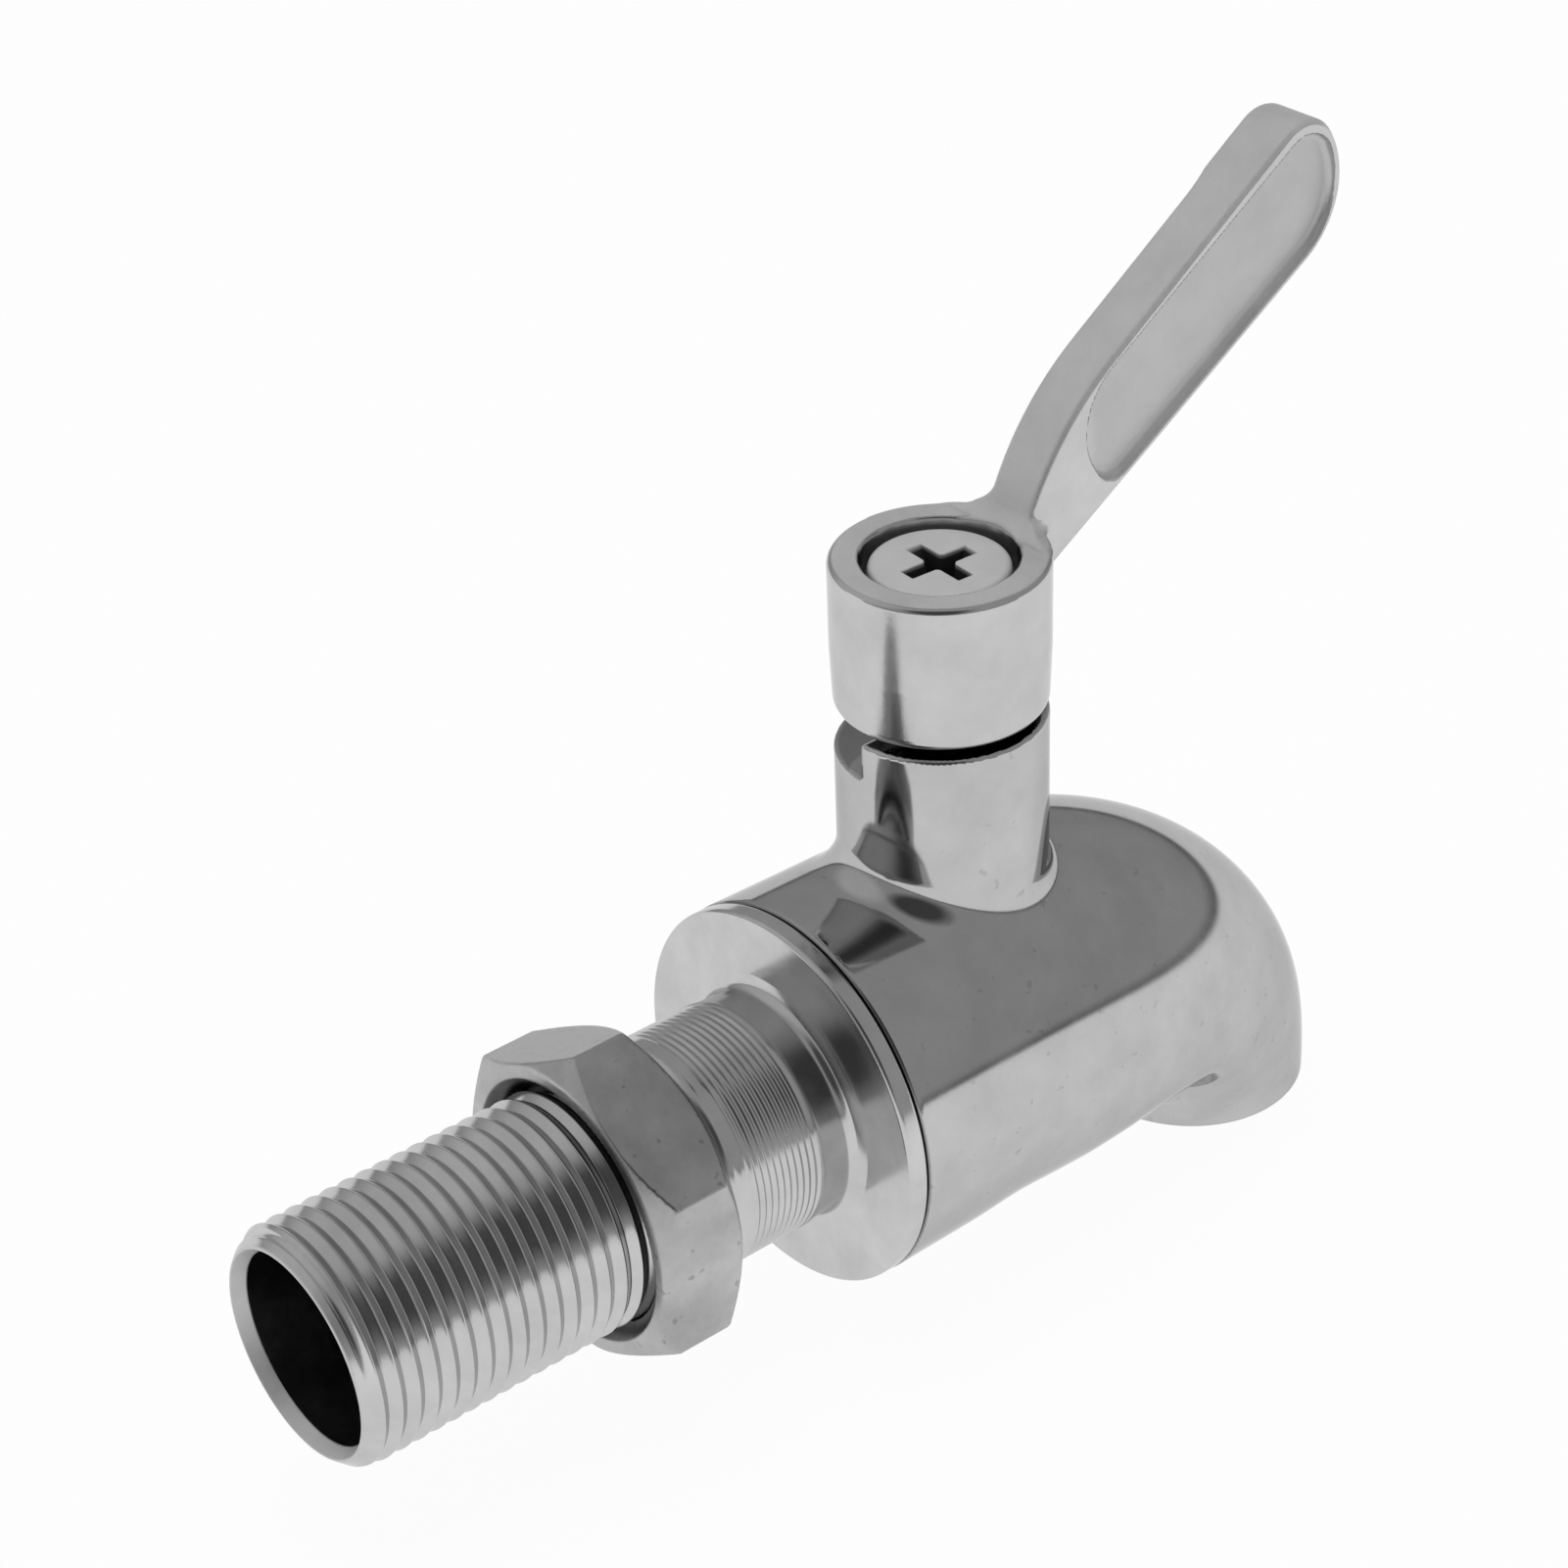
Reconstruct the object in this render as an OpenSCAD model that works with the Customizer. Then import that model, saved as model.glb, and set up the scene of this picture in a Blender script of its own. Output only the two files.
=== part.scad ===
// Drink dispenser tap: a stainless ball valve with a threaded shank, a lock nut and a lever.
// X runs along the shank towards the spout, Z is up, and the origin is the middle of the
// flange face that rests on the outside of the vessel. Sizes are in millimetres.

/* [Shank] */
// Outside diameter of the shank thread
thread_d = 16.66; // [15.8:0.01:17.2]
// Bore of the shank at its inlet end
inlet_d = 13; // [11:0.1:13.6]
// Length of the shank from its inlet end to the flange face
shank_len = 39.1; // [34:0.1:50]
// Chamfer on the outside of the inlet end
tip_chamfer = 1.2; // [0.6:0.1:1.2]
// Plain neck between the thread and the flange
neck_len = 2.8; // [1.5:0.1:4]
// Diameter of the plain neck
neck_d = 16.4; // [15.4:0.1:16.6]
// Thickness of the flange
flange_t = 1.5; // [1.4:0.1:1.8]

/* [Lock nut] */
// Hexagon size across the flats
nut_af = 20.8; // [19.6:0.1:24]
// Thickness of the nut
nut_t = 6.5; // [5:0.1:8]
// Distance from the flange face to the nut
nut_gap = 11.5; // [6:0.1:18]
// Turn of the hexagon about the shank
nut_turn = 2.4; // [0:0.1:59]
// Running clearance of the nut on the shank, on the radius
nut_clear = 0.07; // [0.03:0.01:0.1]

/* [Body] */
// Diameter of the barrel at the flange
barrel_d = 27.5; // [26.8:0.1:28]
// How much narrower the barrel is where the bend starts
barrel_taper = 0.2; // [0.1:0.1:1]
// Distance from the flange face to the bonnet axis
bonnet_x = 15.2; // [15:0.1:16]
// Diameter of the bonnet
bonnet_d = 14.4; // [13.4:0.1:15]
// Height of the bonnet rim above the shank axis
bonnet_top = 24.5; // [22:0.1:26]
// Radius of the fillet between the bonnet and the barrel
root_r = 1.4; // [0.8:0.1:2]
// Depth of the stop notch in the bonnet rim
notch_h = 2.5; // [1.5:0.1:3]
// Angle of the stop wall where the lever is open
notch_from = 65; // [50:1:75]
// Angle of the stop wall where the lever is shut
notch_to = 181; // [175:1:190]

/* [Spout] */
// Distance from the flange face to where the barrel starts to bend
bend_start = 9.4; // [8.6:0.1:10]
// Distance from the bonnet axis to the spout axis
spout_reach = 24.4; // [23.6:0.1:26]
// How far the pull of the barrel's direction reaches into the bend
barrel_pull = 22; // [20:0.1:24]
// How far the pull of the spout's direction reaches up into the bend
spout_pull = 6.3; // [5.6:0.1:7.4]
// Outside diameter of the spout
spout_d = 17.1; // [16.2:0.1:18]
// Bore of the spout
outlet_d = 12.6; // [11.5:0.1:13]
// Depth of the spout bore
outlet_len = 7; // [5:0.1:8]
// Distance from the shank axis down to the spout rim
spout_drop = 16.5; // [16:0.1:16.5]

/* [Ball valve] */
// Diameter of the ball
ball_d = 17; // [16.6:0.1:17.2]
// Port through the ball, seats and bend
port_d = 9.6; // [8:0.1:10]
// Clearance between the ball and its seats
ball_clear = 0.05; // [0.03:0.01:0.1]
// Outside diameter of the seats
seat_d = 15.7; // [15.2:0.1:16]
// Distance from the ball centre to the back of a seat
seat_reach = 9; // [8.8:0.1:9.2]
// Distance from the ball centre to the front of a seat
seat_front = 4.4; // [4.2:0.1:5]

/* [Stem] */
// Diameter of the stem
stem_d = 8; // [7.4:0.1:8.4]
// Running clearance of the stem in the bonnet, on the radius
stem_clear = 0.05; // [0.03:0.01:0.1]
// Diameter of the shoulder that keeps the stem in
shoulder_d = 10.4; // [9.8:0.1:10.8]
// Flats at the top of the stem, across
flats = 6.2; // [5.8:0.1:6.6]
// Thickness of the shoulder
shoulder_t = 1.7; // [1.2:0.1:1.9]
// Thickness of the tang that turns the ball
tang_t = 3.4; // [3:0.1:4]
// Thickness of the thrust washer over the shoulder
washer_t = 0.8; // [0.6:0.1:1]
// Thickness of a stem seal ring
seal_cs = 1.15; // [1:0.01:1.3]

/* [Handle] */
// Diameter of the hub
hub_d = 14.7; // [14:0.1:15.4]
// Height of the hub's underside above the shank axis
hub_base = 25.45; // [25.2:0.05:26]
// Height of the hub's top above the shank axis
hub_top = 36.1; // [35.4:0.1:37]
// Width of the counterbore in the hub
recess_d = 10.6; // [10:0.1:11]
// Thickness of the lever blade
blade_t = 4.2; // [3.4:0.1:5]
// Slope of the blade's lower edge above the level
blade_slope = 31.8; // [30:0.1:34]
// How much steeper the blade's upper edge is
blade_flare = 2.5; // [0:0.1:4]
// Depth of the lever blade across its slope, at the tip
blade_w = 9.6; // [9:0.1:10]
// Length of the blade along its slope, from the bonnet axis
blade_len = 43.35; // [38:0.05:50]
// Depth of the sunk panel on each side of the blade
panel_depth = 0.35; // [0.2:0.05:0.6]

/* [Handle screw] */
// Diameter of the screw head
head_d = 9.1; // [8.6:0.1:9.6]
// Height of the screw head
head_h = 2.7; // [2.2:0.1:3]
// Diameter of the screw thread
screw_d = 5; // [4:0.1:5]
// Length of the screw thread below the head
screw_len = 10; // [8:0.5:10]

/* [Hidden] */
$fn = 96;
eps = 0.01;

thread_r = thread_d / 2;
flange_d = barrel_d - 0.1;
barrel_end_d = barrel_d - barrel_taper;
face_r = thread_r + 0.8;           // where the neck fillet ends on the flange face
nut_front = -nut_gap - nut_t;

ball_r = ball_d / 2;
seat_r = seat_d / 2;
cavity_r = ball_r + 0.4;
seat_in = bonnet_x - seat_reach;   // back of the inlet seat
seat_out = bonnet_x + seat_reach;  // back of the outlet seat

root_steps = 5;
tail_d = 22;                       // the part of the shank that screws into the body
tail_end = bonnet_x - 5.2;
socket_d = tail_d + 0.1;
seal_x = flange_t + 1.4;           // middle of the body seal
seal_root_d = 19;

stem_bore_r = stem_d / 2 + stem_clear;
slot_floor = ball_r - 1.9;         // floor of the slot in the ball
shoulder_base = ball_r + 0.2;
shoulder_top = shoulder_base + shoulder_t;
ceiling = shoulder_top + washer_t; // roof over the thrust washer
groove_d = 2 * stem_bore_r - 2 * seal_cs;
groove_w = 1.6;
seal_z = [ceiling + 3.3, ceiling + 7.3];
step_z = hub_base + 0.8;           // the step that the hub sits on
web_top = 31.8;                    // floor of the counterbore
stem_top = web_top - 0.4;
washer_h = 1.05;
head_base = web_top + washer_h;

lug_half = (notch_to - notch_from - 91) / 2;   // half angle of the stop lug
lug_mid = notch_from + lug_half + 0.5;
lug_base = bonnet_top - notch_h + 0.3;

spout_x = bonnet_x + spout_reach;
way_r = port_d / 2 + 0.2;          // radius of the way round the bend
way_bend = spout_x - seat_out - 0.3;
blade_foot = 27.9;                 // height of the blade's lower edge over the bonnet axis

// A cylinder along +X from x0 to x1
module along_x(x0, x1, r0, r1) {
    translate([x0, 0, 0]) rotate([0, 90, 0])
        cylinder(h = x1 - x0, r1 = r0, r2 = is_undef(r1) ? r0 : r1);
}

// A ring that is round in section, about the Z axis
module round_ring(middle_r, section_r) {
    rotate_extrude() translate([middle_r, 0]) circle(r = section_r, $fn = 40);
}

// A wedge of angle from a0 to a1, as far as r, for cutting a plan shape
module wedge(a0, a1, r) {
    steps = 8;
    polygon(concat([[0, 0]],
        [for (i = [0:steps]) let (a = a0 + (a1 - a0) * i / steps) 1.5 * r * [cos(a), sin(a)]]));
}

// Middle line of the bend in x and z, from the barrel at 0 to the rim of the spout at 1
function bend_line(t) =
    pow(1 - t, 3) * [bend_start, 0] + 3 * pow(1 - t, 2) * t * [bend_start + barrel_pull, 0]
    + 3 * (1 - t) * t * t * [spout_x, spout_pull - spout_drop] + pow(t, 3) * [spout_x, -spout_drop];

// Its direction there, of length 1
function bend_way(t) = let (
        d = pow(1 - t, 2) * [barrel_pull, 0]
            + 2 * (1 - t) * t * [spout_x - bend_start - barrel_pull, spout_pull - spout_drop]
            + t * t * [0, -spout_pull])
    d / norm(d);

// Length of the middle line from 0 to t
function bend_length(t, i = 0) = i >= 24 ? 0
    : norm(bend_line(t * (i + 1) / 24) - bend_line(t * i / 24)) + bend_length(t, i + 1);

// Outside radius of the bend, on the outer side of the turn and on the inner side
function bend_radius(t, inner = false) = let (u = bend_length(t) / bend_length(1))
    spout_d / 2 + (barrel_end_d - spout_d) / 2
        * (inner ? pow(max(0, 1 - pow(u, 1.1)), 1.07) : pow(max(0, 1 - pow(u, 3.9)), 1.9));

// One thin slice of the bend
module bend_slice(t, back = 0) {
    p = bend_line(t);
    d = bend_way(t);
    outer = bend_radius(t) - (back > 0 ? 0.03 : 0);
    inner = bend_radius(t, true) - (back > 0 ? 0.03 : 0);
    translate([p[0] - back, 0, p[1]]) rotate([0, atan2(-d[1], d[0]), 0]) rotate([0, 90, 0])
        linear_extrude(0.05) polygon([for (k = [0:47]) let (a = 7.5 * k)
            [-(abs(a) < 90 || a > 270 ? outer : inner) * cos(a), outer * sin(a)]]);
}

// The bend, as a chain of slices joined pair by pair
module bend() {
    stations = [0, 0.12, 0.26, 0.42, 0.58, 0.74, 0.87, 1];
    for (i = [0:len(stations) - 2])
        hull() {
            bend_slice(stations[i], i == 0 ? 0.4 : 0);
            bend_slice(stations[i + 1]);
        }
}

// The waterway from the outlet seat round to the spout
module outlet_way() {
    along_x(seat_out - 0.5, seat_out + 0.31, way_r);
    translate([seat_out + 0.3, 0, -way_bend]) rotate([90, 0, 0])
        rotate_extrude(start = 0, angle = 90) translate([way_bend, 0]) circle(r = way_r);
    translate([spout_x, 0, -spout_drop - 1]) cylinder(h = 1 + outlet_len, r = outlet_d / 2);
    translate([spout_x, 0, -spout_drop + outlet_len - eps])
        cylinder(h = 1.4, r1 = outlet_d / 2, r2 = way_r);
}

// Place along the middle line that lies at x
function bend_place(x, low = 0, high = 1, n = 0) = let (t = (low + high) / 2)
    n > 20 ? t : bend_line(t)[0] < x ? bend_place(x, t, high, n + 1) : bend_place(x, low, t, n + 1);

// Under the bonnet, at x: height of the middle line, its slope, and the outside radius
function barrel_at(x) = x <= bend_start
    ? [0, 0, barrel_d / 2 - barrel_taper / 2 * (x - flange_t) / (bend_start - flange_t)]
    : let (t = bend_place(x), d = bend_way(t)) [bend_line(t)[1], d[1] / d[0], bend_radius(t)];

// Section of the root fillet at angle a: a ball of radius root_r rolls round the bonnet and
// touches the barrel too, and both ends of the section reach into the solid
function root_section(a) = let (
        reach = bonnet_d / 2 + root_r,
        x = bonnet_x + reach * cos(a),
        y = reach * sin(a),
        guess = barrel_at(x),
        at = barrel_at(x + guess[1] * (guess[2] + root_r)),
        up = [-at[1], 0, 1] / sqrt(1 + at[1] * at[1]),
        side = y / (at[2] + root_r),
        z = at[0] + up[2] * (at[2] + root_r) * sqrt(1 - side * side),
        centre = [reach * cos(a), y, z],
        out = [-cos(a), -sin(a), 0],
        down = -(up * sqrt(1 - side * side) + [0, side, 0]),
        sweep = acos(out * down),
        sink = 0.15)
    concat(
        [[cos(a), sin(a), 0] * (bonnet_d / 2 - 1) + [0, 0, z + 0.3]],
        [centre + out * (root_r + sink) + [0, 0, 0.3]],
        [for (i = [1:root_steps - 1]) let (t = sweep * i / root_steps)
            centre + root_r * (out * sin(sweep - t) + down * sin(t)) / sin(sweep)],
        [centre + down * (root_r + sink)],
        [[cos(a), sin(a), 0] * (bonnet_d / 2 - 1) + [0, 0, z - root_r - 2]]);

// Fillet between the bonnet and the barrel
module bonnet_root() {
    turns = 60;
    rows = [for (k = [0:turns - 1]) root_section(360 * k / turns)];
    n = len(rows[0]);
    translate([bonnet_x, 0, 0]) polyhedron(
        points = [for (row = rows, p = row) p],
        faces = [for (k = [0:turns - 1], i = [0:n - 1])
            let (m = (k + 1) % turns, j = (i + 1) % n)
            each [[k * n + i, m * n + j, k * n + j], [k * n + i, m * n + i, m * n + j]]]);
}

module body_outside() {
    along_x(flange_t, bend_start, barrel_d / 2, barrel_end_d / 2);
    bend();
    bonnet_root();
    translate([bonnet_x, 0, 0]) cylinder(h = bonnet_top, r = bonnet_d / 2);
}

module stop_notch() {
    translate([bonnet_x, 0, bonnet_top - notch_h]) linear_extrude(notch_h + 1)
        intersection() {
            circle(r = bonnet_d);
            wedge(notch_from, notch_to, bonnet_d);
        }
}

// The cast body: barrel, bend, spout and bonnet in one piece
module body() {
    color([0.62, 0.62, 0.63]) difference() {
        body_outside();
        translate([0, 0, -spout_drop - 10]) linear_extrude(10) square(200, center = true);
        along_x(flange_t - 1, tail_end + 0.3, socket_d / 2);
        along_x(tail_end, bonnet_x + seat_front, cavity_r);
        along_x(bonnet_x, seat_out, seat_r);
        outlet_way();
        translate([bonnet_x, 0, 0]) cylinder(h = ceiling, r = shoulder_d / 2 + 0.1);
        translate([bonnet_x, 0, 0]) cylinder(h = bonnet_top + 1, r = stem_bore_r);
        stop_notch();
    }
}

// The threaded shank with the flange and the tail that screws into the body
module shank() {
    color([0.66, 0.66, 0.67]) difference() {
        union() {
            along_x(-shank_len, -shank_len + tip_chamfer, thread_r - tip_chamfer, thread_r);
            along_x(-shank_len + tip_chamfer, -neck_len, thread_r);
            along_x(-neck_len - eps, flange_t, neck_d / 2);
            along_x(-0.9, 0, neck_d / 2 - 0.05, face_r);
            along_x(0, 0.35, flange_d / 2 - 0.35, flange_d / 2);
            along_x(0.35, flange_t, flange_d / 2);
            along_x(flange_t - eps, tail_end, tail_d / 2);
        }
        along_x(-shank_len - 1, 2, inlet_d / 2);
        along_x(-shank_len - eps, -shank_len + 0.7, inlet_d / 2 + 0.5, inlet_d / 2 - 0.2);
        along_x(2 - eps, seat_in, inlet_d / 2, port_d / 2 + 0.2);
        along_x(seat_in - eps, tail_end + 1, port_d / 2 + 0.2);
        along_x(seat_in, tail_end + 1, seat_r);
        // groove for the body seal
        difference() {
            along_x(seal_x - 0.95, seal_x + 0.95, tail_d / 2 + 1);
            along_x(seal_x - 2, seal_x + 2, seal_root_d / 2);
        }
    }
}

// Hexagon nut with chamfered corners and a countersink on both faces
module lock_nut() {
    across_corners = nut_af / cos(30);
    flat_r = nut_af / 2 - 0.15;    // where the chamfer starts on each face
    depth = (across_corners / 2 - flat_r) * tan(36);
    sink = 0.75;
    bore_r = thread_r + nut_clear;
    color([0.55, 0.55, 0.56]) translate([nut_front, 0, 0]) difference() {
        intersection() {
            rotate([nut_turn, 0, 0]) rotate([0, 90, 0])
                cylinder(h = nut_t, d = across_corners, $fn = 6);
            union() {
                along_x(0, depth, flat_r, across_corners / 2);
                along_x(depth - eps, nut_t - depth + eps, across_corners / 2);
                along_x(nut_t - depth, nut_t, across_corners / 2, flat_r);
            }
        }
        along_x(-1, nut_t + 1, bore_r);
        along_x(-eps, sink, bore_r + sink, bore_r);
        along_x(nut_t - sink, nut_t + eps, bore_r, bore_r + sink);
    }
}

// Rubber ring that seals the shank in the body
module body_seal() {
    section_r = (socket_d - seal_root_d) / 4;
    color([0.08, 0.08, 0.08]) translate([seal_x, 0, 0]) rotate([0, 90, 0])
        round_ring((socket_d + seal_root_d) / 4, section_r);
}

// A seat ring whose hollow face fits the ball
module seat() {
    difference() {
        along_x(seat_front, seat_reach, seat_r);
        along_x(seat_front - 1, seat_reach + 1, port_d / 2 + 0.2);
        sphere(r = ball_r + ball_clear);
    }
}

module inlet_seat() {
    color([0.93, 0.93, 0.9]) translate([bonnet_x, 0, 0]) mirror([1, 0, 0]) seat();
}

module outlet_seat() {
    color([0.93, 0.93, 0.9]) translate([bonnet_x, 0, 0]) seat();
}

// The ball with its port and the slot for the stem's tang
module ball() {
    color([0.7, 0.7, 0.72]) translate([bonnet_x, 0, 0]) difference() {
        sphere(r = ball_r);
        along_x(-ball_d, ball_d, port_d / 2);
        translate([-ball_d, -tang_t / 2 - 0.1, slot_floor])
            cube([2 * ball_d, tang_t + 0.2, ball_d]);
    }
}

// The stem: tang, shoulder, two seal grooves, flats and a tapped hole
module stem() {
    color([0.66, 0.66, 0.67]) translate([bonnet_x, 0, 0]) difference() {
        union() {
            intersection() {
                translate([-shoulder_d / 2, -tang_t / 2, slot_floor + 0.2])
                    cube([shoulder_d, tang_t, shoulder_base - slot_floor]);
                cylinder(h = shoulder_top, r = seat_front - 0.3);
            }
            translate([0, 0, shoulder_base])
                cylinder(h = shoulder_top - shoulder_base, r = shoulder_d / 2);
            translate([0, 0, shoulder_top - eps])
                cylinder(h = step_z - shoulder_top + eps, r = stem_d / 2);
            intersection() {
                translate([0, 0, step_z - eps]) cylinder(h = stem_top - step_z, r = stem_d / 2);
                translate([-flats / 2, -stem_d, 0]) cube([flats, 2 * stem_d, stem_top + 1]);
            }
        }
        for (z = seal_z)
            translate([0, 0, z - groove_w / 2]) difference() {
                cylinder(h = groove_w, r = stem_d);
                translate([0, 0, -1]) cylinder(h = groove_w + 2, r = groove_d / 2);
            }
        translate([0, 0, head_base - screw_len - 1])
            cylinder(h = screw_len + 2, r = screw_d / 2);
    }
}

module thrust_washer() {
    color([0.93, 0.93, 0.9]) translate([bonnet_x, 0, shoulder_top]) difference() {
        cylinder(h = washer_t, r = shoulder_d / 2);
        translate([0, 0, -1]) cylinder(h = 4, r = stem_d / 2);
    }
}

module stem_seal(z) {
    color([0.08, 0.08, 0.08]) translate([bonnet_x, 0, z])
        round_ring((groove_d + seal_cs) / 2, seal_cs / 2 - 0.005);
}

module lower_stem_seal() {
    stem_seal(seal_z[0]);
}

module upper_stem_seal() {
    stem_seal(seal_z[1]);
}

// Points of an arc in a plane
function arc(cx, cy, r, a0, a1, n = 10) =
    [for (i = [0:n]) let (a = a0 + (a1 - a0) * i / n) [cx + r * cos(a), cy + r * sin(a)]];

// Turns a point given along and across the blade into x and z
function on_blade(p) = [
    p[0] * cos(blade_slope) - p[1] * sin(blade_slope),
    blade_foot + p[0] * sin(blade_slope) + p[1] * cos(blade_slope)];

// Side view of the lever: the neck rises from the hub and leans over into the blade
module lever_profile() {
    low_r = 6.2;                   // corner of the tip at the lower edge
    high_r = 3;                    // corner of the tip at the upper edge
    foot_x = 4.3;
    foot_r = 2;                    // hollow of the neck at the hub
    lean = 68;                     // steepest slope of the neck
    top_slope = blade_slope + blade_flare;
    neck = arc(foot_x, hub_top + foot_r, foot_r, -90, lean - 90);
    knee = neck[len(neck) - 1];
    // upper edge of the blade, as a point and a slope
    edge_p = on_blade([blade_len, blade_w]);
    edge_z = edge_p[1] - edge_p[0] * tan(top_slope);
    // the outward curve that leaves the neck at the knee and ends along the upper edge
    over_r = (edge_z + knee[0] * tan(top_slope) - knee[1])
        / (cos(top_slope) - cos(lean) - tan(top_slope) * (sin(lean) - sin(top_slope)));
    over = arc(knee[0] + over_r * sin(lean), knee[1] - over_r * cos(lean), over_r,
        90 + lean, 90 + top_slope);
    // the upper corner touches the sloping edge and the end of the tip
    corner_v = blade_w - high_r * (1 + sin(blade_flare)) / cos(blade_flare);
    tip = concat(
        arc(blade_len - high_r, corner_v, high_r, 90 + blade_flare, 0),
        arc(blade_len - low_r, low_r, low_r, 0, -90));
    polygon(concat(
        [[0, hub_base + 3], [0, hub_top]],
        neck, over,
        [for (p = tip) on_blade(p)],
        [on_blade([7, 0]), [5.5, hub_base + 3]]));
}

// Plan of the hub and the blade, with a fillet on each side between them
module lever_plan() {
    fillet_r = 1.2;
    hub_r = hub_d / 2;
    reach_y = blade_t / 2 + fillet_r;
    reach_x = sqrt(pow(hub_r + fillet_r, 2) - pow(reach_y, 2));
    circle(r = hub_r - 0.02);
    translate([0, -blade_t / 2]) square([blade_len + blade_w, blade_t]);
    difference() {
        translate([0, -reach_y]) square([reach_x, 2 * reach_y]);
        for (side = [-1, 1])
            translate([reach_x, side * reach_y]) circle(r = fillet_r);
    }
}

// Outline of the sunk panel, in blade coordinates
module panel_outline() {
    rim = 0.6;
    back_u = 15.9;
    end_u = blade_len - rim;
    high_v = blade_w - rim;
    low_v = rim;
    polygon(concat(
        arc(end_u - 2.6, high_v - 2.8, 2.6, 90, 0),
        arc(end_u - 5.6, low_v + 5.6, 5.6, 0, -90),
        arc(back_u + 1.8, low_v + 1.8, 1.8, -90, -180),
        arc(back_u + 5, low_v + 2.4, 5, 180, 90 + blade_flare)));
}

// Section of the hub, with rounded edges and a slight draft below its middle
module hub_section() {
    hub_r = hub_d / 2;
    low_r = hub_r - 0.15;
    round_r = 0.9;
    top_r = 0.35;
    polygon(concat(
        [[0, hub_base]],
        arc(low_r - round_r, hub_base + round_r, round_r, -90, 0, 6),
        [[hub_r, hub_base + 4.5]],
        arc(hub_r - top_r, hub_top - top_r, top_r, 0, 90, 4),
        [[0, hub_top]]));
}

// Hub, lever blade and stop lug in one casting
module handle() {
    color([0.6, 0.6, 0.61]) translate([bonnet_x, 0, 0]) difference() {
        union() {
            rotate_extrude() hub_section();
            intersection() {
                translate([0, hub_d, 0]) rotate([90, 0, 0]) linear_extrude(2 * hub_d)
                    lever_profile();
                linear_extrude(hub_top + blade_len) lever_plan();
            }
            translate([0, 0, lug_base]) linear_extrude(hub_base + 1.2 - lug_base)
                difference() {
                    intersection() {
                        circle(r = bonnet_d / 2 - 0.25);
                        wedge(lug_mid - lug_half, lug_mid + lug_half, bonnet_d);
                    }
                    circle(r = stem_d / 2 + 0.6);
                }
        }
        // counterbore, seat on the stem's step, and the hole with two flats
        translate([0, 0, web_top]) cylinder(h = 30, r = recess_d / 2);
        translate([0, 0, hub_base - 1]) cylinder(h = step_z - hub_base + 1, r = stem_d / 2 + 0.05);
        intersection() {
            cylinder(h = hub_top + blade_len, r = stem_d / 2 + 0.02);
            translate([-flats / 2 - 0.02, -stem_d, 0])
                cube([flats + 0.04, 2 * stem_d, hub_top + blade_len]);
        }
        for (side = [-1, 1])
            translate([0, side * (blade_t / 2 + 1 - panel_depth), blade_foot])
                rotate([0, -blade_slope, 0]) rotate([90, 0, 0])
                    linear_extrude(2, center = true) panel_outline();
    }
}

// Split spring washer under the screw head
module spring_washer() {
    color([0.6, 0.6, 0.61]) translate([bonnet_x, 0, web_top]) difference() {
        cylinder(h = washer_h, r = head_d / 2 - 0.15);
        translate([0, 0, -1]) cylinder(h = 4, r = screw_d / 2 + 0.2);
        rotate([0, 0, 200]) translate([0, -0.3, -1]) cube([10, 0.6, 4]);
    }
}

// Pan head screw with a cross recess
module handle_screw() {
    edge_r = 0.5;
    cross_l = 5.2;
    cross_w = 1.1;
    cross_depth = 1.7;
    color([0.6, 0.6, 0.61]) translate([bonnet_x, 0, head_base]) difference() {
        union() {
            rotate_extrude() polygon(concat(
                [[0, 0], [head_d / 2, 0]],
                arc(head_d / 2 - edge_r, head_h - edge_r, edge_r, 0, 90, 5),
                [[0, head_h]]));
            translate([0, 0, -screw_len]) cylinder(h = screw_len + eps, r = screw_d / 2);
        }
        rotate([0, 0, -3]) for (turn = [0, 90])
            rotate([0, 0, turn]) translate([-cross_l / 2, -cross_w / 2, head_h - cross_depth])
                cube([cross_l, cross_w, 3]);
    }
}

body();
shank();
lock_nut();
body_seal();
inlet_seat();
outlet_seat();
ball();
stem();
thrust_washer();
lower_stem_seal();
upper_stem_seal();
handle();
spring_washer();
handle_screw();
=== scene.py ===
import math

import bpy
import numpy as np
from mathutils import Matrix


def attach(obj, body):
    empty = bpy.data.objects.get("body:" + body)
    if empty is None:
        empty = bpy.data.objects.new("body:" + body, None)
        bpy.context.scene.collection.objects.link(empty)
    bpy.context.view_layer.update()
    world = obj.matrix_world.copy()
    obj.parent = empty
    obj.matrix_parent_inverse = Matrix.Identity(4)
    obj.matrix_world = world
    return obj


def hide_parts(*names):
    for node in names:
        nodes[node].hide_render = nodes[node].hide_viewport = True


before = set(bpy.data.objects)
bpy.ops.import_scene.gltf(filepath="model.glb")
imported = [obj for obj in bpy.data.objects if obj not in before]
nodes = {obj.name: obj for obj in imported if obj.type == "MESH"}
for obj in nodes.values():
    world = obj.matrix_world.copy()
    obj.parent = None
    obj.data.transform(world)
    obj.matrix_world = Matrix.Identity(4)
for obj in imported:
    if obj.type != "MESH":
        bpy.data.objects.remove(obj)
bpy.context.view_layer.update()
scene = bpy.context.scene
MM = 0.001

# Sizes in millimetres, shared by several pieces
AXIS_X = 15.2            # bonnet axis
PITCH = 1.337
THREAD_R = 8.33
FLANGE_T = 1.5           # thickness of the flange, where the barrel starts
WATER_R = 5.0            # bore for the drink
FAR = 1e3                # stands for a value far from a surface


# Mesh tools

def sind(a):
    """Sine of an angle in degrees."""
    return math.sin(math.radians(a))


def cosd(a):
    """Cosine of an angle in degrees."""
    return math.cos(math.radians(a))


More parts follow.
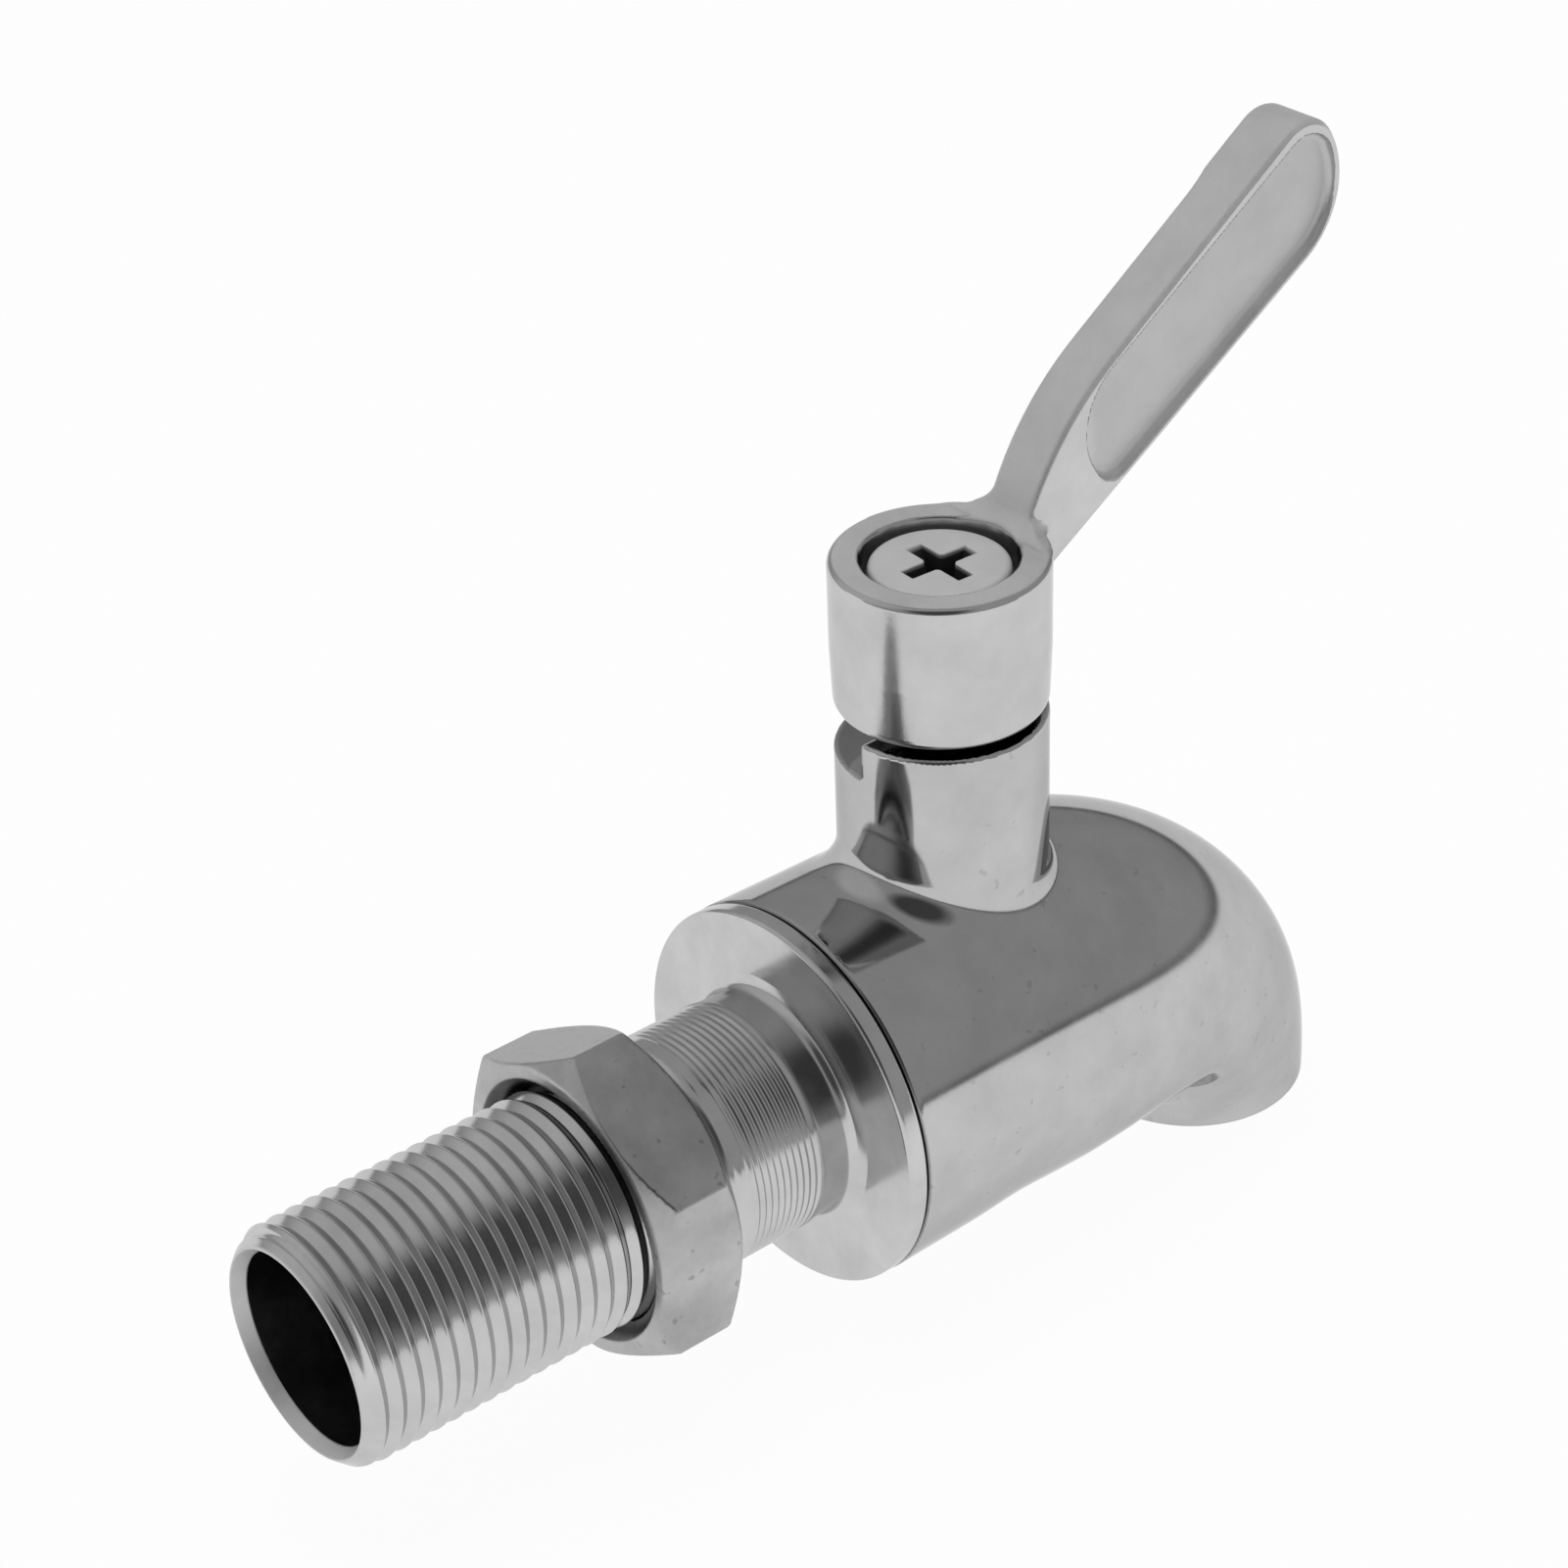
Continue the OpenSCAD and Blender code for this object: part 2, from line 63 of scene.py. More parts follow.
def share(value, start, length):
    """0 up to start, 1 from start + length, and straight between."""
    return np.clip((value - start) / length, 0, 1)


def rmax(a, b, r):
    """Intersection of two fields with a rounded edge."""
    return np.minimum(-r, np.maximum(a, b)) + np.hypot(np.maximum(r + a, 0), np.maximum(r + b, 0))


def rmin(a, b, r):
    """Union of two fields with a fillet."""
    return np.maximum(r, np.minimum(a, b)) - np.hypot(np.maximum(r - a, 0), np.maximum(r - b, 0))


def sector(x, y, start, end, r):
    """Field of the wedge about the origin between two angles in degrees."""
    return rmax(x * sind(start) - y * cosd(start), y * cosd(end) - x * sind(end), r)


def gradient(field, p, e=0.02):
    g = np.empty_like(p)
    for k in range(3):
        d = np.zeros(3)
        d[k] = e
        g[:, k] = (field(p + d) - field(p - d)) / (2 * e)
    return g


def sample(field, lo, nb, h, block, reach):
    """A field on a grid of nb blocks. Blocks far from its surface only get a sign."""
    centres = np.stack(np.meshgrid(*[np.arange(n) for n in nb], indexing="ij"), -1).reshape(-1, 3)
    f = field(lo + (centres + 0.5) * h * block)
    inside = (f < 0).reshape(nb)
    for axis in range(3):
        inside = np.repeat(inside, block, axis)
    values = np.where(np.pad(inside, ((0, 1),) * 3, mode="edge"), -FAR, FAR)
    need = np.zeros(values.shape, bool)
    for c in centres[np.abs(f) < reach * h * block] * block:
        need[tuple(slice(k, k + block + 1) for k in c)] = True
    idx = np.argwhere(need)
    out = np.empty(len(idx))
    chunk = 400000
    for first in range(0, len(idx), chunk):
        out[first:first + chunk] = field(lo + idx[first:first + chunk] * h)
    out[np.abs(out) < 1e-9] = 1e-9
    values[need] = out
    return values


def edge_middles(values, cells):
    """The mean place, in cells, where the surface crosses each cell's edges."""
    total = np.zeros((len(cells), 3))
    hits = np.zeros(len(cells))
    for a in np.ndindex(2, 2, 2):
        for axis in range(3):
            if a[axis]:
                continue
            b = list(a)
            b[axis] = 1
            va = values[tuple((cells + a).T)]
            vb = values[tuple((cells + b).T)]
            cross = (va < 0) != (vb < 0)
            point = np.tile(np.array(a, float), (len(cells), 1))
            point[:, axis] = np.where(cross, va / np.where(cross, va - vb, 1), 0)
            total += np.where(cross[:, None], point, 0)
            hits += cross
    return cells + total / hits[:, None]


def crossed_quads(sign, number):
    """One quad across each grid edge that the surface crosses, facing out."""
    size = sign.shape
    quads = []
    for axis in range(3):
        u, v = (axis + 1) % 3, (axis + 2) % 3
        low = [slice(None)] * 3
        high = [slice(None)] * 3
        low[axis], high[axis] = slice(0, -1), slice(1, None)
        e = np.argwhere(sign[tuple(low)] != sign[tuple(high)])
        e = e[(e[:, u] > 0) & (e[:, v] > 0) & (e[:, u] < size[u] - 1) & (e[:, v] < size[v] - 1)]
        du, dv = np.eye(3, dtype=int)[[u, v]]
        q = np.stack([number[tuple((e - a).T)] for a in (du + dv, dv, 0 * du, du)], 1)
        inner = sign[tuple(e.T)]
        q[~inner] = q[~inner][:, ::-1]
        quads.append(q)
    return np.concatenate(quads)


def contour(field, lo, hi, h, block=8, reach=2.6):
    """Closed quad mesh of field = 0. Points are moved onto the surface, normals are the field's."""
    lo, hi = np.asarray(lo, float), np.asarray(hi, float)
    values = sample(field, lo, np.ceil((hi - lo) / (h * block)).astype(int), h, block, reach)
    sign = values < 0
    n0, n1, n2 = np.array(values.shape) - 1
    count = sum(sign[i:i + n0, j:j + n1, k:k + n2].astype(np.int8) for i, j, k in np.ndindex(2, 2, 2))
    cells = np.argwhere((count > 0) & (count < 8))
    number = -np.ones((n0, n1, n2), int)
    number[tuple(cells.T)] = np.arange(len(cells))
    p = lo + edge_middles(values, cells) * h
    furthest = 0.6 * h
    for _ in range(4):
        g = gradient(field, p)
        step = (field(p) / np.maximum((g * g).sum(1), 0.05))[:, None] * g
        p -= np.clip(step, -furthest, furthest)
    normals = gradient(field, p)
    normals /= np.maximum(np.linalg.norm(normals, axis=1), 1e-9)[:, None]
    return p, crossed_quads(sign, number), normals


def between_points(table, lo, h, x, z):
    """Value of a plane table at x and z, mixed from the four points around."""
    i = np.clip((x - lo[0]) / h, 0, table.shape[0] - 1.001)
    j = np.clip((z - lo[1]) / h, 0, table.shape[1] - 1.001)
    a, b = i.astype(int), j.astype(int)
    fi, fj = i - a, j - b
    return (table[a, b] * (1 - fi) * (1 - fj) + table[a + 1, b] * fi * (1 - fj)
            + table[a, b + 1] * (1 - fi) * fj + table[a + 1, b + 1] * fi * fj)


def area_normals(p, quads):
    c = np.cross(p[quads[:, 2]] - p[quads[:, 0]], p[quads[:, 3]] - p[quads[:, 1]])
    normals = np.zeros_like(p)
    for k in range(quads.shape[1]):
        np.add.at(normals, quads[:, k], c)
    return normals / np.maximum(np.linalg.norm(normals, axis=1), 1e-12)[:, None]


def ring_mesh(rows):
    """Rows of points (rows, turns, 3), joined round both ways, with area-weighted normals."""
    n, m, _ = rows.shape
    i, j = np.meshgrid(np.arange(n), np.arange(m), indexing="ij")
    a, b = (i + 1) % n, (j + 1) % m
    quads = np.stack([i * m + j, i * m + b, a * m + b, a * m + j], -1).reshape(-1, 4)
    p = rows.reshape(-1, 3)
    return p, quads, area_normals(p, quads)


def make(name, data, body, material, slot, *replaced):
    p, quads, normals = data
    me = bpy.data.meshes.new(name)
    me.vertices.add(len(p))
    me.vertices.foreach_set("co", (p * MM).astype(np.float32).ravel())
    me.loops.add(quads.size)
    me.loops.foreach_set("vertex_index", quads.astype(np.int32).ravel())
    me.polygons.add(len(quads))
    me.polygons.foreach_set("loop_start", np.arange(len(quads), dtype=np.int32) * quads.shape[1])
    me.update(calc_edges=True)
    me.validate()
    me.shade_smooth()
    me.normals_split_custom_set_from_vertices(normals.tolist())
    me.materials.append(material)
    ob = bpy.data.objects.new(name, me)
    scene.collection.objects.link(ob)
    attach(ob, body)
    if replaced:
        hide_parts(*replaced)
    return ob


# Materials

def node(nt, kind, **values):
    n = nt.nodes.new(kind)
    for key, value in values.items():
        if hasattr(n, key):
            setattr(n, key, value)
        else:
            n.inputs[key.replace("_", " ")].default_value = value
    return n


def scaled(nt, coord, scale):
    m = node(nt, "ShaderNodeMapping")
    m.inputs["Scale"].default_value = scale
    nt.links.new(coord, m.inputs["Vector"])
    return m.outputs["Vector"]


def ramp(nt, value, low, high, to_low, to_high):
    r = node(nt, "ShaderNodeMapRange")
    for name, v in zip(("From Min", "From Max", "To Min", "To Max"), (low, high, to_low, to_high)):
        r.inputs[name].default_value = v
    nt.links.new(value, r.inputs["Value"])
    return r.outputs["Result"]


def maths(nt, operation, *values):
    m = node(nt, "ShaderNodeMath", operation=operation)
    for socket, v in zip(m.inputs, values):
        if isinstance(v, (int, float)):
            socket.default_value = v
        else:
            nt.links.new(v, socket)
    return m.outputs[0]


def noise(nt, coord, **values):
    n = node(nt, "ShaderNodeTexNoise", **values)
    nt.links.new(coord, n.inputs["Vector"])
    return n.outputs["Fac"]


def tint(nt, shade, factor, grey):
    """A colour, multiplied by a grey where factor is 1."""
    mix = node(nt, "ShaderNodeMix", data_type="RGBA", blend_type="MULTIPLY")
    nt.links.new(factor, mix.inputs["Factor"])
    nt.links.new(shade, mix.inputs["A"])
    mix.inputs["B"].default_value = (grey,) * 3 + (1,)
    return mix.outputs["Result"]


def axes(nt, vector):
    split = node(nt, "ShaderNodeSeparateXYZ")
    nt.links.new(vector, split.inputs[0])
    return split.outputs


def mask(nt, value, low, high):
    """0 up to low and 1 from high, both in mm. With low above high it runs the other way."""
    if low > high:
        return ramp(nt, value, high * MM, low * MM, 1.0, 0.0)
    return ramp(nt, value, low * MM, high * MM, 0.0, 1.0)


def satin_and_lit_tops(nt, coord):
    """Mask of the handle's satin faces: the ring's top, the upper edge of neck and blade, the panels. On the
    faces picked by facing up, the lighter grey is painted light; the gloss is the satin finish.
    """
    place = axes(nt, coord)
    up = axes(nt, node(nt, "ShaderNodeTexCoord").outputs["Normal"])["Z"]
    flat = ramp(nt, up, 0.9, 0.985, 0.0, 1.0)
    upper = maths(nt, "MULTIPLY", mask(nt, place["Z"], 36.1, 36.25), ramp(nt, up, 0.15, 0.5, 0.0, 1.0))
    deep = mask(nt, maths(nt, "ABSOLUTE", place["Y"]), 1.95, 1.5)
    panel = maths(nt, "MULTIPLY", deep, mask(nt, place["X"], 26, 28))
    return maths(nt, "MAXIMUM", maths(nt, "MAXIMUM", flat, upper), panel)


def distance(nt, a, b):
    """Root of the sum of two squares."""
    return maths(nt, "SQRT", maths(nt, "ADD", maths(nt, "MULTIPLY", a, a), maths(nt, "MULTIPLY", b, b)))


def from_bonnet(nt, place):
    return distance(nt, maths(nt, "SUBTRACT", place["X"], AXIS_X * MM), place["Y"])


def cut_end(nt, coord):
    """Mask of the shank's cut end inside the thread's chamfer."""
    place = axes(nt, coord)
    return maths(nt, "MULTIPLY", mask(nt, place["X"], -38.1, -38.2),
                 mask(nt, distance(nt, place["Y"], place["Z"]), 7.44, 7.34))


def nut_bore(nt, coord):
    """Mask of the painted shade in the nut's bore and countersinks."""
    place = axes(nt, coord)
    return mask(nt, distance(nt, place["Y"], place["Z"]), 9.45, 9.33)


def cross_recess(nt, coord):
    """Mask of the painted shade in the recess in the screw's head."""
    place = axes(nt, coord)
    return maths(nt, "MULTIPLY", mask(nt, place["Z"], 35.5, 35.2), mask(nt, from_bonnet(nt, place), 3.1, 2.9))


def seam(nt, coord):
    """Mask of the painted shade in the joint between the flange and the barrel."""
    off = maths(nt, "ABSOLUTE", maths(nt, "SUBTRACT", axes(nt, coord)["X"], FLANGE_T * MM))
    return mask(nt, off, 0.24, 0.08)


def seam_and_notch(nt, coord):
    """Painted shade in the joint, and on the wall of the notch under the lever's hub."""
    place = axes(nt, coord)
    wall = maths(nt, "MULTIPLY", mask(nt, from_bonnet(nt, place), 7.05, 6.8),
                 mask(nt, place["Z"], 21.6, 22.2))
    return maths(nt, "MAXIMUM", seam(nt, coord), wall)


def metal(name, tone, rough, spread=0.03, grain=0.0, grain_size=6000, waves=0.0, wave_scale=(400, 400, 400),
          top=None, cloudy=0.06, specks=0.0, metallic=1.0, edge_tint=0.85, painted_shade=None):
    """Bare stainless steel. tone is the grey, rough the gloss, grain and waves are bump heights in mm.
    top is a mask with the grey, gloss and metallic of matt faces, and where it picks faces by facing up their
    lighter grey is painted light; the last argument is a mask with the grey of painted shade in gaps and
    recesses."""
    mat = bpy.data.materials.new(name)
    mat.use_nodes = True
    nt = mat.node_tree
    bsdf = nt.nodes["Principled BSDF"]
    bsdf.inputs["Metallic"].default_value = metallic
    bsdf.inputs["Specular Tint"].default_value = (edge_tint,) * 3 + (1,)
    coord = node(nt, "ShaderNodeTexCoord").outputs["Object"]
    cloud = noise(nt, coord, Scale=220.0, Detail=5.0, Roughness=0.6)
    fine = noise(nt, coord, Scale=float(grain_size), Detail=3.0, Roughness=0.65)
    colour = node(nt, "ShaderNodeMix", data_type="RGBA")
    colour.inputs["A"].default_value = (tone * (1 - cloudy),) * 3 + (1,)
    colour.inputs["B"].default_value = (tone * (1 + cloudy),) * 3 + (1,)
    nt.links.new(ramp(nt, cloud, 0.3, 0.7, 0.0, 1.0), colour.inputs["Factor"])
    shade = colour.outputs["Result"]
    matt = ramp(nt, maths(nt, "MULTIPLY_ADD", fine, 0.5, cloud), 0.45, 1.05, rough - spread, rough + spread)
    if specks:
        # small worn spots, few and far between
        spot = noise(nt, coord, Scale=900.0, Detail=2.0, Roughness=0.7)
        shade = tint(nt, shade, ramp(nt, spot, 0.66, 0.72, 0.0, 1.0), 1 - specks)
    # painted shade: the masked gaps and recesses are darkened to the given grey
    if painted_shade:
        shade_mask, shade_grey = painted_shade
        shade = tint(nt, shade, shade_mask(nt, coord), shade_grey)
    if top:
        face, top_tone, top_rough, top_metallic = top
        up = maths(nt, "MULTIPLY", face(nt, coord), ramp(nt, fine, 0.35, 0.65, 0.84, 1.0))
        # where the mask picks faces by facing up, this lighter grey is painted light
        shade = tint(nt, shade, up, top_tone / tone)
        matt = maths(nt, "ADD", matt, ramp(nt, up, 0.0, 1.0, 0.0, top_rough - rough))
        nt.links.new(ramp(nt, up, 0.0, 1.0, metallic, top_metallic), bsdf.inputs["Metallic"])
    nt.links.new(shade, bsdf.inputs["Base Color"])
    nt.links.new(matt, bsdf.inputs["Roughness"])
    heights = []
    if grain:
        heights.append(ramp(nt, fine, 0, 1, 0, grain * MM))
    if waves:
        lines = noise(nt, scaled(nt, coord, wave_scale), Scale=1.0, Detail=2.0, Roughness=0.6)
        heights.append(ramp(nt, lines, 0, 1, 0, waves * MM))
    if heights:
        bump = node(nt, "ShaderNodeBump")
        bump.inputs["Strength"].default_value = 1.0
        bump.inputs["Distance"].default_value = 1.0
        height = maths(nt, "ADD", *heights) if len(heights) > 1 else heights[0]
        nt.links.new(height, bump.inputs["Height"])
        nt.links.new(bump.outputs["Normal"], bsdf.inputs["Normal"])
    return mat


def plastic(name, colour, rough, grain_size=3000):
    mat = bpy.data.materials.new(name)
    mat.use_nodes = True
    nt = mat.node_tree
    bsdf = nt.nodes["Principled BSDF"]
    coord = node(nt, "ShaderNodeTexCoord").outputs["Object"]
    fine = noise(nt, coord, Scale=float(grain_size), Detail=3.0)
    mix = node(nt, "ShaderNodeMix", data_type="RGBA")
    mix.inputs["A"].default_value = tuple(0.88 * c for c in colour) + (1,)
    mix.inputs["B"].default_value = tuple(colour) + (1,)
    nt.links.new(fine, mix.inputs["Factor"])
    nt.links.new(mix.outputs["Result"], bsdf.inputs["Base Color"])
    nt.links.new(ramp(nt, fine, 0.3, 0.7, rough - 0.06, rough + 0.06), bsdf.inputs["Roughness"])
    return mat


# The greys given with the joint, notch, nut bore and screw recess masks are painted shade.
polished = metal("polished_steel", 0.5, 0.09, spread=0.03, grain=0.0009, grain_size=1800, cloudy=0.08,
                 specks=0.16, edge_tint=0.7, painted_shade=(seam_and_notch, 0.4))
turned = metal("turned_steel", 0.56, 0.18, spread=0.06, grain=0.0007, grain_size=4000, waves=0.0005,
               wave_scale=(7000, 200, 200), cloudy=0.1, painted_shade=(seam, 0.3), top=(cut_end, 0.75, 0.5, 0.5))
satin_nut = metal("satin_nut_steel", 0.46, 0.34, spread=0.08, grain=0.009, grain_size=2600, cloudy=0.2,
                  specks=0.3, painted_shade=(nut_bore, 0.3))
# the handle's faces that face up get a lighter grey, which is painted light, and a satin gloss
satin_handle = metal("satin_handle_steel", 0.55, 0.15, spread=0.05, grain=0.0035, grain_size=5000,
                     cloudy=0.08, top=(satin_and_lit_tops, 0.68, 0.5, 0.5))
screw_steel = metal("screw_steel", 0.78, 0.5, spread=0.06, grain=0.003, grain_size=6000, metallic=0.5,
                    painted_shade=(cross_recess, 0.07))
ball_steel = metal("ball_steel", 0.65, 0.07)
ptfe = plastic("seat_ptfe", (0.86, 0.86, 0.83), 0.45)
rubber = plastic("seal_rubber", (0.02, 0.02, 0.02), 0.6)

for name, mat in (("body_seal", rubber), ("lower_stem_seal", rubber), ("upper_stem_seal", rubber),
                  ("inlet_seat", ptfe), ("outlet_seat", ptfe), ("thrust_washer", ptfe),
                  ("ball", ball_steel), ("stem", turned), ("spring_washer", screw_steel),
                  ("body", polished), ("shank", turned), ("lock_nut", satin_nut),
                  ("handle", satin_handle), ("handle_screw", screw_steel)):
    me = nodes[name].data
    me.materials.clear()
    me.materials.append(mat)


# Body

BARREL_R = 13.65
BARREL_TAPER = 0.1       # how much the barrel narrows on its way to the bend
BODY_FACE = 1.52
BEND_X = 9.4             # where the barrel starts to bend
BARREL_PULL = 22         # how far the barrel's direction reaches into the bend
SPOUT_PULL = 6.3         # how far the spout's direction reaches up into the bend
SPOUT_X, SPOUT_Z, SPOUT_R = 39.6, -16.5, 8.55
BONNET_R, BONNET_TOP = 7.2, 24.75
NOTCH_START, NOTCH_END = 65, 181             # degrees about the bonnet
NOTCH_FLOOR = 22
SOCKET_R, SOCKET_END = 11.05, 10.3           # for the shank's tail
SEAT_BORES = (8.9, 19.6), (7.85, 24.2)       # radius, and how far in they reach
WAY_X = 24.5             # where the waterway starts to bend
MOUTH_TOP, MOUTH_FLARE = -8.1, 1.3           # where the spout's bore gets wider, and by how much
STEM_R, STEM_SHOULDER_R, ROOF_Z = 4.05, 5.3, 11.2

# Radius of the underside in ten even steps from the start of the bend to the rim, with a tight corner where
# the spout leaves the barrel. Chosen close to what an optimiser had fitted to the photo's outline, and not
# worked out from sizes.
INNER_R = (13.6, 13.1, 12.9, 12.4, 11.1, 8.7, 6.2, 6.3, 7.9, 8.6, 8.55)

LINE_STEP = 0.02         # between points of the bend's middle line
LOOK_LO = np.array([-3.0, -26.0])
LOOK_H = 0.5
LOOK_SIZE = (116, 112)


def bend_table():
    """Middle line of the barrel, bend and spout by its length, with direction, turn and both radii."""
    before, after = 12, 5
    t = np.linspace(0, 1, 4001)[:, None]
    pts = np.array([[BEND_X, 0], [BEND_X + BARREL_PULL, 0], [SPOUT_X, SPOUT_Z + SPOUT_PULL],
                    [SPOUT_X, SPOUT_Z]])
    line = ((1 - t) ** 3 * pts[0] + 3 * (1 - t) ** 2 * t * pts[1]
            + 3 * (1 - t) * t * t * pts[2] + t ** 3 * pts[3])
    length = np.concatenate([[0], np.cumsum(np.linalg.norm(np.diff(line, axis=0), axis=1))])
    s = np.arange(-before, length[-1] + after, LINE_STEP)
    x = np.where(s < 0, BEND_X + s, np.interp(s, length, line[:, 0]))
    z = np.where(s > length[-1], SPOUT_Z - (s - length[-1]), np.interp(s, length, line[:, 1]))
    u = np.clip(s / length[-1], 0, 1)
    barrel = BARREL_R - BARREL_TAPER * s / (BEND_X - FLANGE_T)
    outer = SPOUT_R + (BARREL_R - SPOUT_R) * (1 - u ** 3.9) ** 1.9
    inner = np.interp(u, np.linspace(0, 1, len(INNER_R)), INNER_R)
    rows = [x, z, np.where(s < 0, barrel, outer), np.where(s < 0, barrel, inner)]
    # all four are smoothed along the line
    reach, softness = 200, 0.9
    k = np.exp(-0.5 * (np.arange(-reach, reach + 1) * LINE_STEP / softness) ** 2)
    k /= k.sum()
    rows = [np.pad(r, reach, mode="reflect", reflect_type="odd") for r in rows]
    x, z, outer, inner = [np.convolve(r, k, "valid") for r in rows]
    dx, dz = np.gradient(x), np.gradient(z)
    n = np.hypot(dx, dz)
    dx, dz = dx / n, dz / n
    turn = np.gradient(np.unwrap(np.arctan2(dz, dx))) / n
    return s, x, z, dx, dz, turn, outer, inner


BEND = bend_table()


def nearest_table():
    """Length along the middle line of its nearest point, on a coarse grid."""
    u, v = np.meshgrid(*[LOOK_LO[k] + np.arange(LOOK_SIZE[k]) * LOOK_H for k in (0, 1)], indexing="ij")
    s, x, z = (a[::8] for a in BEND[:3])
    d = (u[..., None] - x) ** 2 + (v[..., None] - z) ** 2
    return s[d.argmin(-1)]


LOOK = nearest_table()


def tube(x, y, z):
    """Field of the barrel, bend and spout, taller above its middle line than below it."""
    s = between_points(LOOK, LOOK_LO, LOOK_H, x, z)
    for _ in range(3):
        cx, cz, dx, dz, turn = (np.interp(s, BEND[0], row) for row in BEND[1:6])
        along = (x - cx) * dx + (z - cz) * dz
        away = (z - cz) * dx - (x - cx) * dz
        s = s + np.clip(along / np.maximum(1 - turn * away, 0.15), -2, 2)
    cx, cz, dx, dz, _, outer, inner = (np.interp(s, BEND[0], row) for row in BEND[1:])
    away = (z - cz) * dx - (x - cx) * dz
    tall = np.where(away > 0, outer, inner)
    return (np.hypot(away / tall, y / outer) - 1) * np.minimum(tall, outer)


def waterway(x, y, z):
    """Field of the body's hollow: the shank's socket, the seats' bores and the bore round the bend."""
    axle = np.hypot(y, z)
    hollow = rmax(axle - SOCKET_R, x - SOCKET_END, 0.1)
    for r, end in SEAT_BORES + ((WATER_R, WAY_X),):
        hollow = np.minimum(hollow, np.maximum(axle - r, x - end))
    way_r = SPOUT_X - WAY_X
    ux, uz = x - WAY_X, z + way_r
    ring = np.hypot(y, np.hypot(ux, uz) - way_r) - WATER_R
    hollow = np.minimum(hollow, np.maximum(ring, np.maximum(-ux, -uz)))
    mouth = np.hypot(x - SPOUT_X, y) - WATER_R - MOUTH_FLARE * share(-z, -MOUTH_TOP, 1.4)
    return np.minimum(hollow, np.maximum(mouth, z - MOUTH_TOP))


def body_field(p):
    x, y, z = p.T
    dx = x - AXIS_X
    r = np.hypot(dx, y)
    bonnet = rmax(rmax(r - BONNET_R, z - BONNET_TOP, 0.25), -z, 0.1)
    root = 1.6 + 0.6 * np.cos(np.arctan2(y, dx) - math.radians(190))
    f = rmin(tube(x, y, z), bonnet, root)
    f = rmax(f, BODY_FACE - x, 0.32)
    f = rmax(f, SPOUT_Z - z, 0.4)
    notch = rmax(sector(dx, y, NOTCH_START, NOTCH_END, 0.05), NOTCH_FLOOR - z, 0.25)
    f = rmax(f, -notch, 0.15)
    f = rmax(f, -waterway(x, y, z), 0.3)
    stem = np.minimum(np.maximum(r - STEM_SHOULDER_R, z - ROOF_Z), r - STEM_R)
    return rmax(f, -np.maximum(stem, -z), 0.12)


make("tap_body", contour(body_field, (0.9, -14.6, -17.1), (48.6, 14.6, 25.1), 0.26),
     "tap", polished, "cast_steel", "body")


# Shank

SHANK_END = -39.1
CHAMFER, CHAMFER_SLOPE = 1.1, 0.94           # of the thread at the open end
THREAD_END = -9.2
THREAD_DEPTH = 0.45
FINE_PITCH, FINE_DEPTH = 0.535, 0.1          # lines left by the cutter behind the nut
FINE_END = -3.0
NECK_X, NECK_R, NECK_FILLET = -2.95, 8.2, 1.02
FLANGE_R = 13.7
# Countersink and rim of the open end: distance from the end, and radius
OPEN_END = ((1.0, 6.72), (0.85, 6.78), (0.06, 7.18), (0, 7.22), (0, 7.28), (0.06, 7.36))
# Back of the flange, seal's groove, tail, seat's pocket and bore: x and radius
TAIL = ((1.48, 13.0), (1.48, 11.0), (1.95, 11.0), (1.95, 9.5), (3.85, 9.5), (3.85, 11.0), (9.9, 11.0),
        (10.0, 10.9), (10.0, 7.85), (6.2, 7.85), (6.2, WATER_R), (2.0, 6.5))


def thread_depth(phase):
    """0 on the sharp crest and 1 at the root of the thread, by phase in pitches."""
    softness, width = 0.003, 0.92
    t = np.sqrt((2 * ((phase % 1.0) - 0.5)) ** 2 + softness)
    rise = 1 - t / width
    return (rise + np.sqrt(rise * rise + softness)) / 2


